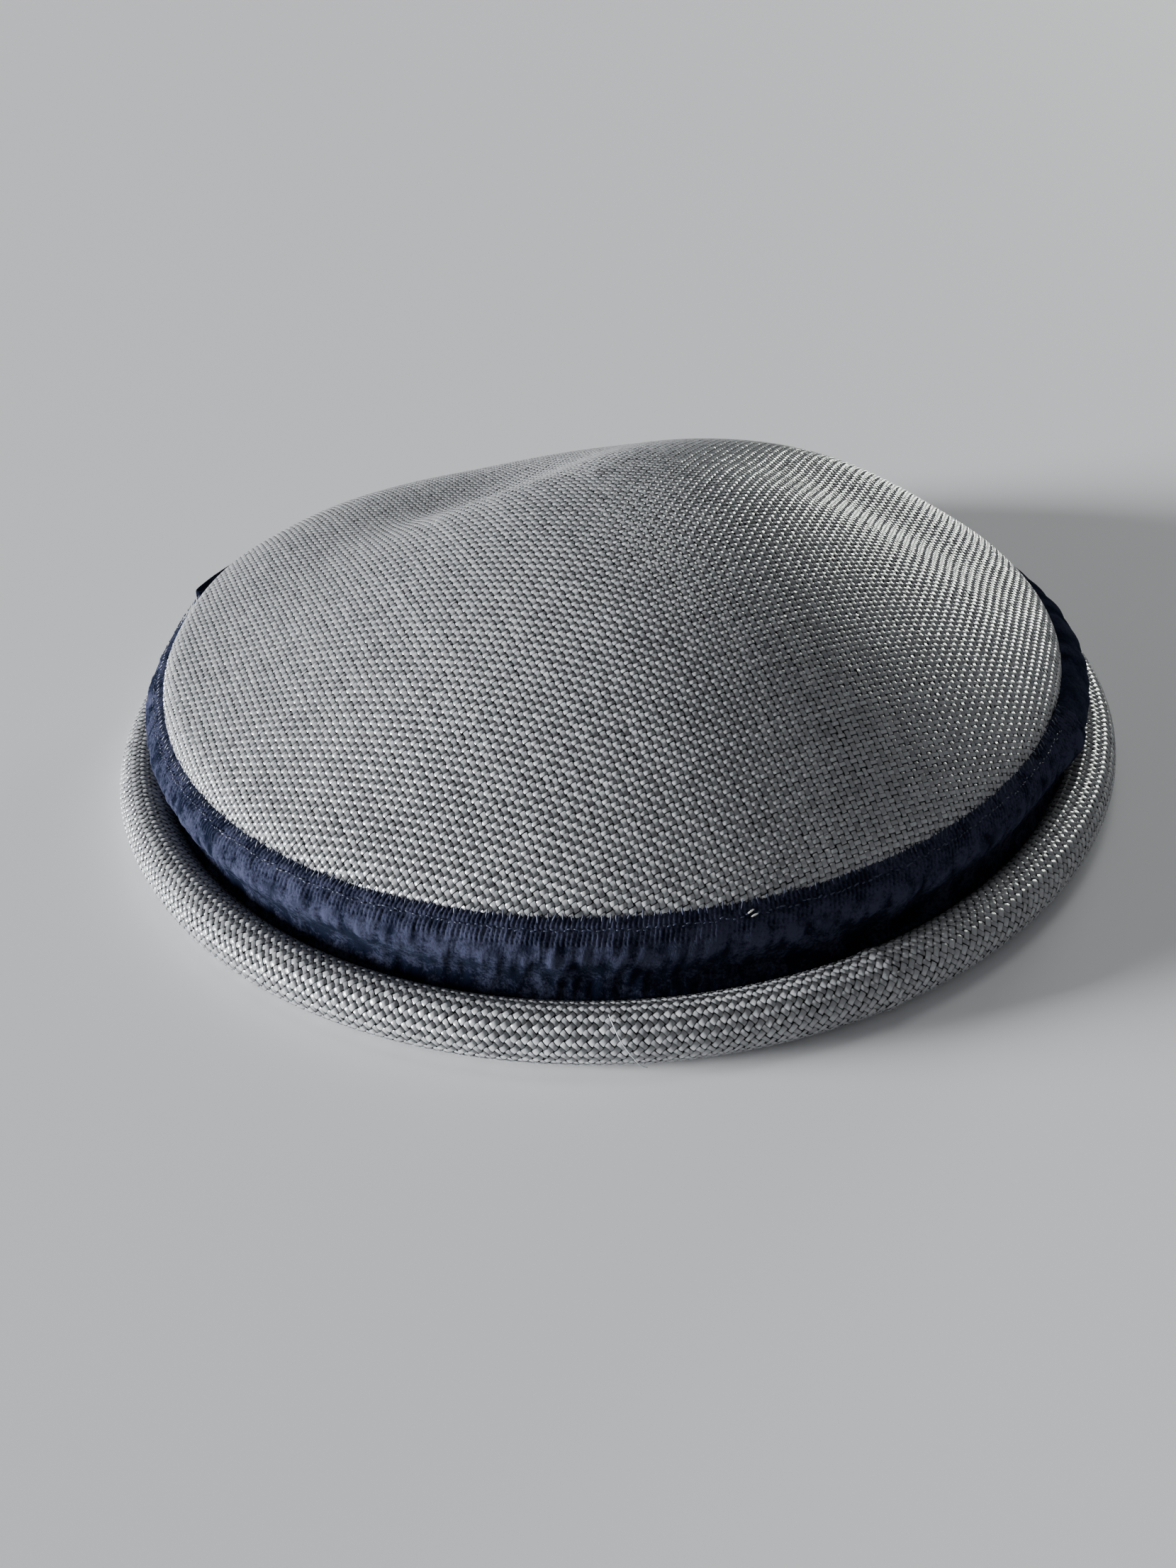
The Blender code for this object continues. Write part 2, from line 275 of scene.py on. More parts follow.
def points_of(mesh):
    points = np.empty(len(mesh.vertices) * 3, np.float32)
    mesh.vertices.foreach_get("co", points)
    return points.reshape(-1, 3).astype(float)


def move_points(mesh, points):
    mesh.vertices.foreach_set("co", np.asarray(points, np.float32).ravel())
    mesh.update()


def point_values(mesh, name, values):
    """Stores one number for each point, for a material to read."""
    attribute = mesh.attributes.new(name, "FLOAT", "POINT")
    attribute.data.foreach_set("value", np.asarray(values, np.float32))


def mesh_from(bm, name):
    mesh = bpy.data.meshes.new(name)
    bm.to_mesh(mesh)
    bm.free()
    return mesh


def face_along(mesh, normals):
    """Turns the mesh over if its first face looks against the given point normals."""
    face = mesh.polygons[0]
    if face.normal.dot(Vector(normals[face.vertices[0]])) < 0.0:
        mesh.flip_normals()


def finish_piece(mesh, material, replaced=()):
    """Makes a piece of the hat from its finished mesh."""
    mesh.shade_smooth()
    mesh.materials.append(material)
    piece = bpy.data.objects.new(mesh.name, mesh)
    bpy.context.scene.collection.objects.link(piece)
    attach(piece, BODY)
    if replaced:
        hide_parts(*replaced)
    return piece


def strip_sheet(strips, crossings, slant, top_length):
    """A flat sheet of parallel strips, three points across each, with two rows of points a crossing.

    x counts strips and y counts crossings. With a slant of 1 each strip starts a crossing further on.
    """
    bm = bmesh.new()
    columns = 3 * strips - 1
    rows = 2 * crossings
    bmesh.ops.create_grid(bm, x_segments=columns, y_segments=rows - 1, size=1.0)
    gaps = [
        face
        for face in bm.faces
        if round((face.calc_center_median().x + 1.0) / 2.0 * columns - 0.5) % 3 == 2
    ]
    bmesh.ops.delete(bm, geom=gaps, context="FACES")
    for vert in bm.verts:
        column = round((vert.co.x + 1.0) / 2.0 * columns)
        row = round((vert.co.y + 1.0) / 2.0 * (rows - 1))
        strip = column // 3
        crossing = row // 2 + (top_length if row % 2 else -top_length)
        vert.co.x = strip + (column % 3 - 1) * STRIP_SIDE
        vert.co.y = crossing + slant * strip
    return bm


class Strips:
    """What each point of a sheet of strips is given: its place across and along, height, tone, and painted
    shade where it dips under and towards its sides.
    """

    def __init__(self, flat, straw, cover, side, seed):
        chance = np.random.default_rng(seed)
        strip = np.rint(flat[:, 0]).astype(int)
        across = (flat[:, 0] - strip) / STRIP_SIDE
        nearest = np.rint(flat[:, 1]).astype(int)
        on_top = side * np.where((strip + nearest) % 2 == 0, 1.0, -1.0)
        strip_chance, crossing_chance = strip % CHANCE_STRIPS, nearest % CHANCE_STRIPS
        twist = chance.normal(0.0, straw.twist, (CHANCE_STRIPS, CHANCE_STRIPS))[strip_chance, crossing_chance]
        tone = chance.normal(0.0, 1.0, (CHANCE_STRIPS, CHANCE_STRIPS))[strip_chance, crossing_chance]
        strip_tone = chance.normal(0.0, 1.0, CHANCE_STRIPS)[strip_chance]
        phase = chance.uniform(0.0, 2.0 * math.pi, (CHANCE_STRIPS, 2))[strip_chance]
        stray = np.sin(flat[:, 1] / 5.3 + phase[:, 0]) + 0.7 * np.sin(flat[:, 1] / 2.1 + phase[:, 1])
        widened = 1.0 + straw.swell * on_top
        self.across = strip + across * cover / 2 * widened + straw.stray * stray
        self.along = nearest + (flat[:, 1] - nearest) * (1.0 + straw.reach * on_top)
        self.height = on_top * straw.wave - straw.arch * across**2 + twist * across
        self.tone = np.clip(0.5 - 0.14 * side + 0.12 * strip_tone + 0.13 * tone, 0.0, 1.0)
        # top is painted shade: 1 along a strip's top, falling to 0 where it dips under the crossing strip and
        # towards the strip's sides
        self.top = (0.5 + 0.5 * on_top) * (1.0 - straw.painted_edge_shade * across**2)


def finish_weave(mesh, placed, normals, strips, material):
    move_points(mesh, placed)
    face_along(mesh, normals)
    point_values(mesh, "tone", strips.tone)
    # The top values are painted shade, read by the straw material
    point_values(mesh, "top", strips.top)
    return finish_piece(mesh, material)


def weave_crown(straw, skin, name, material, turned_by, across_pitch, along_pitch, cover, top, side, seed):
    """One set of straw strips over the dome and the crown's edge, down to just behind the velvet."""
    reach = float(skin.lengths.max())
    strips = 2 * int(reach / across_pitch) + 1
    crossings = 2 * int(reach / along_pitch) + 1
    turn = math.radians(straw.crown_turn + turned_by)

    def over_crown(flat):
        x, y = flat[:, 0] * across_pitch, flat[:, 1] * along_pitch
        ahead, aside = x * math.cos(turn) - y * math.sin(turn), x * math.sin(turn) + y * math.cos(turn)
        return np.degrees(np.arctan2(aside, ahead)), np.hypot(ahead, aside)

    bm = strip_sheet(strips, crossings, 0, top)
    bmesh.ops.translate(bm, vec=(-(strips // 2), -(crossings // 2), 0.0), verts=bm.verts)
    bm.verts.ensure_lookup_table()
    flat = np.array([vert.co[:] for vert in bm.verts])
    azimuth, along = over_crown(flat)
    placed, normals = skin.place(azimuth, along, np.zeros(len(flat)))
    low = (along > reach * 0.8) & (placed[:, 2] < skin.edge_height(azimuth) - straw.tuck)
    bmesh.ops.delete(bm, geom=[bm.verts[index] for index in np.flatnonzero(low)], context="VERTS")
    mesh = mesh_from(bm, name)
    strips = Strips(points_of(mesh), straw, cover, side, seed)
    azimuth, along = over_crown(np.stack([strips.across, strips.along], axis=1))
    placed, normals = skin.place(azimuth, along, strips.height + straw.lift)
    sunk = np.clip((skin.edge_height(azimuth) - placed[:, 2]) / straw.tuck, 0.0, 1.0) * (along > reach * 0.8)
    placed -= normals * (straw.lift * 0.6 * sunk)[:, None]
    finish_weave(mesh, placed, normals, strips, material)


def weave_brim(straw, skin, name, material, mirrored, cover, top, side, seed):
    """One set of bias-cut strips across the brim, from the trough over the roll to the floor."""
    round_hat = 2.0 * math.pi * ROLL_MIDDLE_RADIUS
    section = float(skin.lengths.min())
    pairs = 2 * round(round_hat * math.sqrt(2.0) / straw.brim_pitch / 2.0)
    pitch = round_hat * math.sqrt(2.0) / pairs
    crossings = int(section * math.sqrt(2.0) / pitch) + 1
    before = crossings // 2 + 1
    bm = strip_sheet(pairs // 2 + before + 1, crossings, 1, top)
    bmesh.ops.translate(bm, vec=(-before, -before, 0.0), verts=bm.verts)
    slope = Vector((1.0, 1.0, 0.0)).normalized()
    for cut, keeps_inner in ((slope * -straw.overlap, False), (slope * pairs / math.sqrt(2.0), True)):
        bmesh.ops.bisect_plane(
            bm,
            geom=bm.verts[:] + bm.edges[:] + bm.faces[:],
            plane_co=cut,
            plane_no=slope,
            clear_outer=keeps_inner,
            clear_inner=not keeps_inner,
        )
    mesh = mesh_from(bm, name)
    strips = Strips(points_of(mesh), straw, cover, side, seed)
    round_way = (strips.across + strips.along) * pitch / math.sqrt(2.0)
    along = np.clip((strips.along - strips.across) * pitch / math.sqrt(2.0), 0.0, section)
    share = round_way / round_hat
    if mirrored:
        share = 1.0 - share
    lap = bell(round_way, 0.0, straw.lap_width) * straw.lap_height
    sunk = np.clip((along - (section - straw.tuck)) / straw.tuck, 0.0, 1.0)
    lift = strips.height + straw.lift * (1.0 - 0.75 * sunk) + lap
    placed, normals = skin.place(straw.seam_azimuth + share * FULL_TURN, along, lift)
    placed[:, 2] = np.maximum(placed[:, 2], straw.floor_gap)
    finish_weave(mesh, placed, normals, strips, material)


def velvet_sheet(name, start, end, long_step, across_steps):
    """A flat sheet for a velvet piece, as azimuth and share from its top edge to its foot."""
    bm = bmesh.new()
    long_steps = int(math.radians(end - start) * GROOVE_RADIUS / long_step)
    bmesh.ops.create_grid(bm, x_segments=long_steps, y_segments=across_steps, size=1.0)
    mesh = mesh_from(bm, name)
    flat = points_of(mesh)
    azimuth = start + (end - start) * (flat[:, 0] + 1.0) / 2.0
    share = (flat[:, 1] + 1.0) / 2.0
    return mesh, azimuth, share


def bell(values, middle, width):
    return np.exp(-(((values - middle) / width) ** 2))


def between(values, low, high, soft):
    """1 between two values and 0 outside them, with soft ends."""
    rise = np.clip((values - low) / soft + 0.5, 0.0, 1.0)
    fall = np.clip((high - values) / soft + 0.5, 0.0, 1.0)
    return rise * fall


def soft_noise(azimuth, share, waves, seed):
    """A smooth uneven value between about -1 and 1, from a few long waves round and across the velvet."""
    chance = np.random.default_rng(seed)
    total = np.zeros_like(azimuth)
    for _ in range(waves):
        often, phase, lean = chance.uniform(0.25, 1.0), chance.uniform(0.0, 6.3), chance.uniform(-9.0, 9.0)
        total += np.sin(azimuth * often + lean * share + phase)
    return total / math.sqrt(waves)


def build_band(velvet, skin, material):
    """The ribbed band round the back: two rows of cords, brushed pile down to the ridge, and a foot below it.
    Its colour carries painted light: lighter rib tops, a lighter back half, a painted highlight along the
    ridge and painted shade over the foot.
    """
    start, end = velvet.band_start, velvet.band_end
    mesh, azimuth, share = velvet_sheet("ribbed_band", start, end, velvet.rib_pitch / RIB_STEPS, BAND_ROWS)
    length = float(np.mean(skin.lengths))
    along = share**1.15 * length
    way = np.radians(azimuth) * GROOVE_RADIUS
    uneven = soft_noise(azimuth * 1.3, share, 7, 11)
    crushed = soft_noise(azimuth * 5.1, share * 2.2, 9, 12)
    row = velvet.row_width
    upper = between(along, -row, row, 0.0005)
    lower = between(along, row, 2.0 * row, 0.0005)
    pile = between(along, 2.0 * row, velvet.ridge_along * 1.2, 0.001)
    phase = 2.0 * math.pi * (way + velvet.rib_slant * along) / velvet.rib_pitch + 0.6 * uneven
    cords = np.sin(phase) * upper + np.sin(phase + 2.0 + 0.5 * crushed) * lower
    streaks = np.sin(1.3 * phase + 1.4 * crushed) * pile
    lift = velvet.rib_height * (cords + 0.35 * streaks)
    lift -= velvet.groove * (bell(along, row, 0.0004) + 0.8 * bell(along, 2.0 * row, 0.0006))
    lift += velvet.softness * (uneven + 0.8 * crushed) * between(along, row, length, 0.003)
    lift += velvet.overlap_lift * np.clip((azimuth - (end - 5.0)) / 5.0, 0.0, 1.0)
    lift -= velvet.top_tuck * bell(along, 0.0, velvet.top_reach)
    ragged = velvet.ragged * (np.sin(phase) + 0.8 * crushed) * bell(along, 0.0, 0.0006)
    placed, normals = skin.place(azimuth, along, lift)
    placed[:, 2] += ragged
    move_points(mesh, placed)
    face_along(mesh, normals)
    # Painted light: back half lighter, rib tops lighter and hollows darker, random mottle on the pile, a
    # painted highlight along the ridge, and painted shade from below the ridge to the foot
    behind = np.clip((azimuth - 205.0) / 45.0, 0.0, 1.0) * between(along, -row, velvet.ridge_along, 0.001)
    mottle_and_painted_light = 0.20 + 0.30 * behind + 0.34 * cords + pile * (0.18 * crushed + 0.10 * streaks)
    mottle_and_painted_light += 0.35 * bell(along, velvet.ridge_along, 0.0016) * (0.7 + 0.5 * crushed)
    mottle_and_painted_light -= 0.5 * between(along, velvet.ridge_along * 1.35, 2.0 * length, 0.003)
    point_values(mesh, "mottle_and_painted_light", np.clip(mottle_and_painted_light, 0.0, 1.0))
    piece = finish_piece(mesh, material, ("velvet_band",))
    thicken(piece, velvet.thickness)


def build_strip(velvet, skin, material):
    """The smooth strip from under the band's end round the front to the left side."""
    start, end = velvet.strip_start, velvet.strip_end
    mesh, azimuth, share = velvet_sheet("smooth_strip", start, end, SMOOTH_STEP, SMOOTH_ROWS)
    length = float(np.mean(skin.lengths))
    along = share * length
    uneven = soft_noise(azimuth * 0.35, share, 6, 23)
    lift = velvet.softness * 1.6 * uneven
    crushed = soft_noise(azimuth * 1.7, share * 2.0, 9, 24)
    lift += velvet.softness * crushed - velvet.top_tuck * bell(along, 0.0, velvet.top_reach)
    lift -= velvet.fold_depth * bell(along, 0.52 * length + 0.0006 * uneven, 0.0011)
    placed, normals = skin.place(azimuth, along, lift)
    move_points(mesh, placed)
    face_along(mesh, normals)
    # Painted light: random mottle, painted shade along the fold, and a painted highlight line above it
    mottle_and_painted_light = 0.20 + 0.16 * crushed - 0.25 * bell(along, 0.52 * length, 0.0015)
    mottle_and_painted_light += 0.30 * bell(along, 0.40 * length, 0.0012) * (0.6 + 0.6 * uneven)
    point_values(mesh, "mottle_and_painted_light", np.clip(mottle_and_painted_light, 0.0, 1.0))
    piece = finish_piece(mesh, material, ("velvet_strip",))
    thicken(piece, velvet.thickness)


def build_loop(material):
    """The flat ribbon loop at the left front, softened from its solid."""
    mesh = joined_copy("velvet_loop", "ribbon_loop")
    point_values(mesh, "mottle_and_painted_light", np.full(len(mesh.vertices), 0.15))
    soften(finish_piece(mesh, material, ("velvet_loop",)))


def thicken(piece, thickness):
    wall = piece.modifiers.new("wall", "SOLIDIFY")
    wall.thickness = thickness
    wall.offset = -1.0


def seat(skin, azimuth, along, lift, turn):
    """A placement on the skin: x points round the hat, y down the section, z away from it."""
    point, normal = skin.place(np.array([azimuth]), np.array([along]), np.array([lift]))
    z = Vector(normal[0])
    round_hat = Vector((-math.sin(math.radians(azimuth)), math.cos(math.radians(azimuth)), 0.0))
    x = (round_hat - z * round_hat.dot(z)).normalized()
    axes = Matrix((x, z.cross(x), z)).transposed() @ Matrix.Rotation(math.radians(turn), 3, "Z")
    return Matrix.Translation(Vector(point[0])) @ axes.to_4x4()


def add_stitch(bm, place, length, width, height):
    scale = Matrix.Diagonal((length, width, height, 1.0))
    bmesh.ops.create_uvsphere(bm, u_segments=8, v_segments=5, radius=0.5, matrix=place @ scale)


def sew_line(velvet, skin, name, material, along, pitch, size, turn, seed):
    """A row of small stitches round the band, as one joined mesh."""
    chance = np.random.default_rng(seed)
    count = int(math.radians(velvet.band_end - velvet.band_start) * GROOVE_RADIUS / pitch)
    bm = bmesh.new()
    for stitch in range(count):
        azimuth = velvet.band_start + (velvet.band_end - velvet.band_start) * (stitch + 0.5) / count
        length, width, height = (value * chance.uniform(0.6, 1.3) for value in size)
        place = seat(
            skin,
            azimuth + chance.uniform(-0.2, 0.2),
            along + chance.uniform(-0.0003, 0.0003),
            size[2] * 0.3,
            turn + chance.uniform(-22.0, 22.0),
        )
        add_stitch(bm, place, length, width, height)
    finish_piece(mesh_from(bm, name), material)


def sew_white_stitches(skin, material):
    """Two short white stitches that cross the band's top edge side by side."""
    bm = bmesh.new()
    for azimuth, along, turn in WHITE_STITCHES:
        add_stitch(bm, seat(skin, azimuth, along, WHITE_STITCH[2], turn), *WHITE_STITCH)
    finish_piece(mesh_from(bm, "white_stitches"), material)


def lay_stray_thread(skin, material):
    """A stray pale thread that lies in a curve across the roll at the back."""
    bm = bmesh.new()
    bmesh.ops.create_grid(bm, x_segments=6, y_segments=40, size=1.0)
    mesh = mesh_from(bm, "stray_thread")
    flat = points_of(mesh)
    share = (flat[:, 1] + 1.0) / 2.0
    around = math.pi * flat[:, 0]
    radius = 0.00009
    azimuth = 267.0 + 3.2 * share**2 + 0.3 * np.sin(4.0 * share)
    along = 0.0148 + 0.0080 * share
    sideways = np.degrees(radius * np.sin(around) / ROLL_MIDDLE_RADIUS)
    raised = 0.0010 + 0.0007 * np.sin(5.0 * share) ** 2 + radius * np.cos(around)
    placed, normals = skin.place(azimuth + sideways, along, raised)
    move_points(mesh, placed)
    face_along(mesh, normals)
    finish_piece(mesh, material)


# Materials


def new_material(name):
    material = bpy.data.materials.new(name)
    material.use_nodes = True
    nodes = material.node_tree.nodes
    return material, nodes, material.node_tree.links, nodes["Principled BSDF"]


def add_node(nodes, kind, **values):
    node = nodes.new(kind)
    for name, value in values.items():
        setattr(node, name, value)
    return node


def add_noise(nodes, links, scale, detail, roughness=0.5):
    """Noise on the piece's own coordinates."""
    place = nodes.new("ShaderNodeTexCoord")
    noise = nodes.new("ShaderNodeTexNoise")
    noise.inputs["Scale"].default_value = scale
    noise.inputs["Detail"].default_value = detail
    noise.inputs["Roughness"].default_value = roughness
    links.new(place.outputs["Object"], noise.inputs["Vector"])
    return noise


def mix_colors(nodes, links, share, first, second):
    mix = add_node(nodes, "ShaderNodeMix", data_type="RGBA")
    links.new(share, mix.inputs["Factor"])
    for socket, color in ((mix.inputs["A"], first), (mix.inputs["B"], second)):
        if isinstance(color, bpy.types.NodeSocket):
            links.new(color, socket)
        else:
            socket.default_value = (*color, 1.0)
    return mix.outputs["Result"]


def add_bump(nodes, links, shader, height, strength, distance):
    bump = nodes.new("ShaderNodeBump")
    bump.inputs["Strength"].default_value = strength
    bump.inputs["Distance"].default_value = distance
    links.new(height, bump.inputs["Height"])
    links.new(bump.outputs["Normal"], shader.inputs["Normal"])


def straw_material(name, straw):
    """Shiny flat straw strips: a tone for each visible stretch, with painted shade where a strip dips under
    the next and at its sides, where its gloss is also lowered.
    """
    material, nodes, links, shader = new_material(name)
    tone = add_node(nodes, "ShaderNodeAttribute", attribute_name="tone")
    tops = mix_colors(nodes, links, tone.outputs["Fac"], straw.dark, straw.light)
    # Painted shade: low top values get the dark gap colour and lose their gloss
    top = add_node(nodes, "ShaderNodeAttribute", attribute_name="top")
    out_of_painted_shade = add_node(nodes, "ShaderNodeMapRange")
    out_of_painted_shade.inputs["From Min"].default_value = 0.15
    out_of_painted_shade.inputs["From Max"].default_value = 0.40
    links.new(top.outputs["Fac"], out_of_painted_shade.inputs["Value"])
    strips = mix_colors(nodes, links, out_of_painted_shade.outputs["Result"], straw.painted_gap_shade, tops)
    stains = add_noise(nodes, links, 28.0, 4.0)
    faded = add_node(nodes, "ShaderNodeMapRange")
    faded.inputs["From Min"].default_value = 0.45
    faded.inputs["From Max"].default_value = 0.75
    faded.inputs["To Max"].default_value = 0.20
    links.new(stains.outputs["Fac"], faded.inputs["Value"])
    color = mix_colors(nodes, links, faded.outputs["Result"], strips, straw.faded)
    links.new(color, shader.inputs["Base Color"])
    grain = add_noise(nodes, links, 2600.0, 2.0)
    add_bump(nodes, links, shader, grain.outputs["Fac"], 0.25, 0.00006)
    shader.inputs["Roughness"].default_value = straw.roughness
    shiny = add_node(nodes, "ShaderNodeMath", operation="MULTIPLY")
    shiny.inputs[1].default_value = straw.gloss
    links.new(out_of_painted_shade.outputs["Result"], shiny.inputs[0])
    links.new(shiny.outputs["Value"], shader.inputs["Specular IOR Level"])
    return material


def backing_material(name, straw, turn):
    """The cloth's inner side, seen from below: a woven relief in a darker straw, with the gap colour painted
    between the strands as shade. Faces looking outwards, seen through the gaps between the strips, are
    painted wholly in that colour as shade.
    """
    material, nodes, links, shader = new_material(name)
    place = nodes.new("ShaderNodeTexCoord")
    facing = nodes.new("ShaderNodeNewGeometry")
    outwards = add_node(nodes, "ShaderNodeVectorMath", operation="DOT_PRODUCT")
    links.new(facing.outputs["Normal"], outwards.inputs[0])
    links.new(place.outputs["Object"], outwards.inputs[1])
    outer = add_node(nodes, "ShaderNodeMath", operation="GREATER_THAN")
    links.new(outwards.outputs["Value"], outer.inputs[0])
    outer.inputs[1].default_value = 0.0
    heights = []
    for angle in (turn, turn + 90.0):
        mapping = nodes.new("ShaderNodeMapping")
        mapping.inputs["Rotation"].default_value = (0.0, 0.0, math.radians(angle))
        links.new(place.outputs["Object"], mapping.inputs["Vector"])
        wave = add_node(nodes, "ShaderNodeTexWave", wave_type="BANDS", bands_direction="X")
        wave.inputs["Scale"].default_value = 0.314 / straw.brim_pitch
        wave.inputs["Distortion"].default_value = 0.4
        links.new(mapping.outputs["Vector"], wave.inputs["Vector"])
        heights.append(wave.outputs["Fac"])
    woven = add_node(nodes, "ShaderNodeMath", operation="MULTIPLY")
    links.new(heights[0], woven.inputs[0])
    links.new(heights[1], woven.inputs[1])
    inner = mix_colors(nodes, links, woven.outputs["Value"], straw.painted_gap_shade, straw.inner)
    # Painted shade: faces looking outwards, seen through the gaps between the strips, get the dark gap colour
    color = mix_colors(nodes, links, outer.outputs["Value"], inner, straw.painted_gap_shade)
    links.new(color, shader.inputs["Base Color"])
    add_bump(nodes, links, shader, woven.outputs["Value"], 0.8, 0.0003)
    shader.inputs["Roughness"].default_value = 0.7
    shader.inputs["Specular IOR Level"].default_value = 0.1
    return material


def velvet_material(name, velvet, mottle):
    """Short velvet pile with a soft sheen: its colour goes from dark to light by the painted highlights and
    painted shade stored on its points, and by a noise mottle.
    """
    material, nodes, links, shader = new_material(name)
    mottle_and_painted_light = add_node(nodes, "ShaderNodeAttribute", attribute_name="mottle_and_painted_light")
    grain = add_noise(nodes, links, 1500.0, 4.0, 0.7)
    patches = add_noise(nodes, links, 260.0, 3.0)
    mottled = add_node(nodes, "ShaderNodeMath", operation="MULTIPLY")
    links.new(grain.outputs["Fac"], mottled.inputs[0])
    links.new(patches.outputs["Fac"], mottled.inputs[1])
    brushed = add_node(nodes, "ShaderNodeMapRange")
    brushed.inputs["From Min"].default_value = 0.17
    brushed.inputs["From Max"].default_value = 0.36
    brushed.inputs["To Min"].default_value = -0.30 * mottle
    brushed.inputs["To Max"].default_value = 0.75 * mottle
    links.new(mottled.outputs["Value"], brushed.inputs["Value"])
    # Painted highlights and painted shade from the points, plus the noise mottle
    pile = add_node(nodes, "ShaderNodeMath", operation="ADD", use_clamp=True)
    links.new(mottle_and_painted_light.outputs["Fac"], pile.inputs[0])
    links.new(brushed.outputs["Result"], pile.inputs[1])
    color = mix_colors(nodes, links, pile.outputs["Value"], velvet.dark, velvet.light)
    links.new(color, shader.inputs["Base Color"])
    add_bump(nodes, links, shader, grain.outputs["Fac"], 0.5, 0.0004)
    shader.inputs["Roughness"].default_value = 0.75
    shader.inputs["Specular IOR Level"].default_value = 0.0
    shader.inputs["Sheen Weight"].default_value = velvet.sheen
    shader.inputs["Sheen Roughness"].default_value = velvet.sheen_roughness
    shader.inputs["Sheen Tint"].default_value = (*velvet.sheen_tint, 1.0)
    return material


def thread_material(name, color, roughness):
    """Sewing thread with a faint twist."""
    material, nodes, links, shader = new_material(name)
    twist = add_noise(nodes, links, 1500.0, 1.0)
    lighter = [min(1.0, value * 1.6) for value in color]
    links.new(mix_colors(nodes, links, twist.outputs["Fac"], color, lighter), shader.inputs["Base Color"])
    add_bump(nodes, links, shader, twist.outputs["Fac"], 0.4, 0.0001)
    shader.inputs["Roughness"].default_value = roughness
    return material


def floor_material(color):
    material, _, _, shader = new_material("pale_floor")
    shader.inputs["Base Color"].default_value = (*color, 1.0)
    shader.inputs["Roughness"].default_value = 0.9
    shader.inputs["Specular IOR Level"].default_value = 0.1
    return material


# Settings


class StrawSettings(bpy.types.PropertyGroup):
    """Sizes and colours of the woven straw."""

    warp_pitch: FloatProperty(
        name="Warp pitch", description="From strip to strip", default=0.00126, unit="LENGTH",
    )
    weft_pitch: FloatProperty(
        name="Weft pitch", description="From strip to strip", default=0.001225, unit="LENGTH",
    )
    brim_pitch: FloatProperty(
        name="Brim pitch", description="From strip to strip", default=0.00124, unit="LENGTH",
    )
    warp_cover: FloatProperty(
        name="Warp cover", description="Width as a share of the pitch", default=0.80,
    )
    weft_cover: FloatProperty(
        name="Weft cover", description="Width as a share of the pitch", default=0.64,
    )
    warp_top: FloatProperty(
        name="Warp top", description="Half the flat of a top, in pitches", default=0.43,
    )
    weft_top: FloatProperty(
        name="Weft top", description="Half the flat of a top, in pitches", default=0.38,
    )
    reach: FloatProperty(
        name="Reach", description="How much longer a strip stays up than down", default=0.32,
    )
    swell: FloatProperty(name="Swell", description="How much wider a strip is on top", default=0.10)
    wave: FloatProperty(
        name="Wave", description="How far a strip rises and dips", default=0.00034, unit="LENGTH",
    )
    arch: FloatProperty(
        name="Arch", description="How much lower a strip's sides are", default=0.00014, unit="LENGTH",
    )
    # Painted shade at a strip's sides, in its colour and its gloss
    painted_edge_shade: FloatProperty(
        name="Edge shade", description="Darkening at a strip's sides", default=0.85,
    )
    twist: FloatProperty(
        name="Twist", description="Chance tilt at a crossing", default=0.00004, unit="LENGTH",
    )
    stray: FloatProperty(name="Stray", description="Sideways stray, in pitches", default=0.04)
    lift: FloatProperty(
        name="Lift", description="Cloth's middle over the wall", default=0.00045, unit="LENGTH",
    )
    tuck: FloatProperty(
        name="Tuck", description="Stretch that sinks at a hidden end", default=0.003, unit="LENGTH",
    )
    crown_turn: FloatProperty(
        name="Crown turn", description="Turn of the weave, degrees", default=21.7,
    )
    seam_azimuth: FloatProperty(
        name="Seam", description="Azimuth of the brim's seam, degrees", default=-68.0,
    )
    overlap: FloatProperty(
        name="Overlap", description="Of the seam's ends, in pitches", default=0.7,
    )
    lap_width: FloatProperty(
        name="Lap width", description="Width of the seam's lap", default=0.0016, unit="LENGTH",
    )
    lap_height: FloatProperty(
        name="Lap height", description="Height of the lap", default=0.00035, unit="LENGTH",
    )
    floor_gap: FloatProperty(
        name="Floor gap", description="Lowest straw over the floor", default=0.0001, unit="LENGTH",
    )
    roughness: FloatProperty(
        name="Roughness", description="Of the straw", default=0.25, min=0.0, max=1.0,
    )
    gloss: FloatProperty(
        name="Gloss", description="Strength of its highlights", default=1.0, min=0.0, max=1.0,
    )
    dark: FloatVectorProperty(
        name="Dark", description="Darker strips", default=(0.20, 0.203, 0.215), subtype="COLOR",
    )
    light: FloatVectorProperty(
        name="Light", description="Lighter strips", default=(0.46, 0.468, 0.485), subtype="COLOR",
    )
    faded: FloatVectorProperty(
        name="Faded", description="Faded patches", default=(0.36, 0.365, 0.375), subtype="COLOR",
    )
    # Painted shade colour for the gaps between strips, where strips dip under, and for the backing seen
    # through the gaps
    painted_gap_shade: FloatVectorProperty(
        name="Deep", description="Between strips", default=(0.012, 0.015, 0.020), subtype="COLOR",
    )
    inner: FloatVectorProperty(
        name="Inner", description="Cloth's inner side", default=(0.26, 0.27, 0.28), subtype="COLOR",
    )


